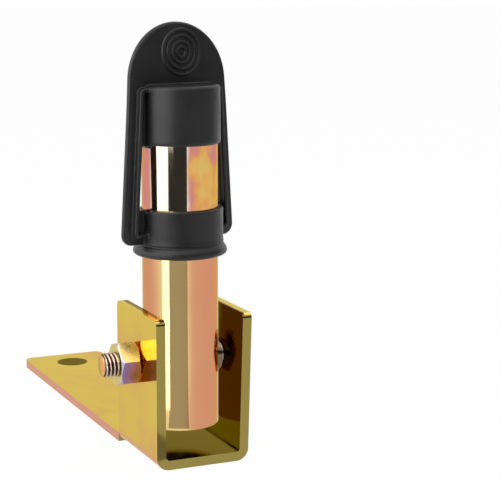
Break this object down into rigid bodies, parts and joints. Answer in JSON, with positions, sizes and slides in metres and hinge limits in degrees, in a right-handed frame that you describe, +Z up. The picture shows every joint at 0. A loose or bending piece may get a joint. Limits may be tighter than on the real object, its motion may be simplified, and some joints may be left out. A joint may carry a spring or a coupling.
{
  "type": "folding spigot bracket",
  "caption": "Folding foot bracket with a round spigot tube on a pivot bolt, closed by a rubber weather cap with a pull tab.",
  "frame": {"origin": "on the underside of the foot, straight below the axis of the tube", "axes": "+X along the pivot bolt from the nut to the head, +Y towards the free end of the foot, +Z up along the tube"},
  "size_m": [0.0482, 0.143, 0.1367],
  "materials": {
    "bracket_zinc": "bright yellow-passivated zinc",
    "tube_zinc": "bright yellow-passivated zinc",
    "sleeve_zinc": "yellow-passivated zinc",
    "bolt_zinc": "yellow-passivated zinc",
    "nut_zinc": "iridescent yellow-passivated zinc",
    "insulator_plastic": "moulded",
    "stud_brass": "turned",
    "contact_nut_brass": "turned",
    "terminal_tin": "tinned",
    "collar_rubber": "smooth moulded",
    "cup_rubber": "smooth moulded",
    "strap_rubber": "smooth moulded",
    "rim_rubber": "smooth moulded",
    "tab_rubber": "smooth moulded",
    "ring_rubber": "smooth moulded"
  },
  "bodies": {
    "frame": {"bracket": "bracket_zinc"},
    "mast": {"spigot_tube": "tube_zinc", "pivot_sleeve": "sleeve_zinc", "contact_insulator": "insulator_plastic", "contact_stud": "stud_brass", "contact_nut": "contact_nut_brass", "ring_terminal": "terminal_tin"},
    "bolt": {"pivot_bolt": "bolt_zinc"},
    "nut": {"pivot_nut": "nut_zinc"},
    "cap": {"cap_collar": "collar_rubber", "cap_cup": "cup_rubber", "cap_straps": "strap_rubber", "cap_rim": "rim_rubber", "cap_tab": "tab_rubber", "grip_rings": "ring_rubber"}
  },
  "joints": [
    {"name": "mast_tilt", "type": "hinge", "parent": "frame", "child": "mast", "pos_m": [0, 0, 0.0305], "axis": [1, 0, 0], "range_deg": [-90, 90]},
    {"name": "bolt_turn", "type": "hinge", "parent": "frame", "child": "bolt", "pos_m": [0, 0, 0.0305], "axis": [1, 0, 0], "range_deg": [0, 1080]},
    {"name": "nut_travel", "type": "slide", "parent": "frame", "child": "nut", "axis": [-1, 0, 0], "range_m": [0, 0.0038]},
    {"name": "cap_pull", "type": "slide", "parent": "mast", "child": "cap", "axis": [0, 0, 1], "range_m": [0, 0.06]}
  ],
  "couplings": [
    {"joint": "nut_travel", "follows": "bolt_turn", "m_per_rad": 0.00019894}
  ]
}
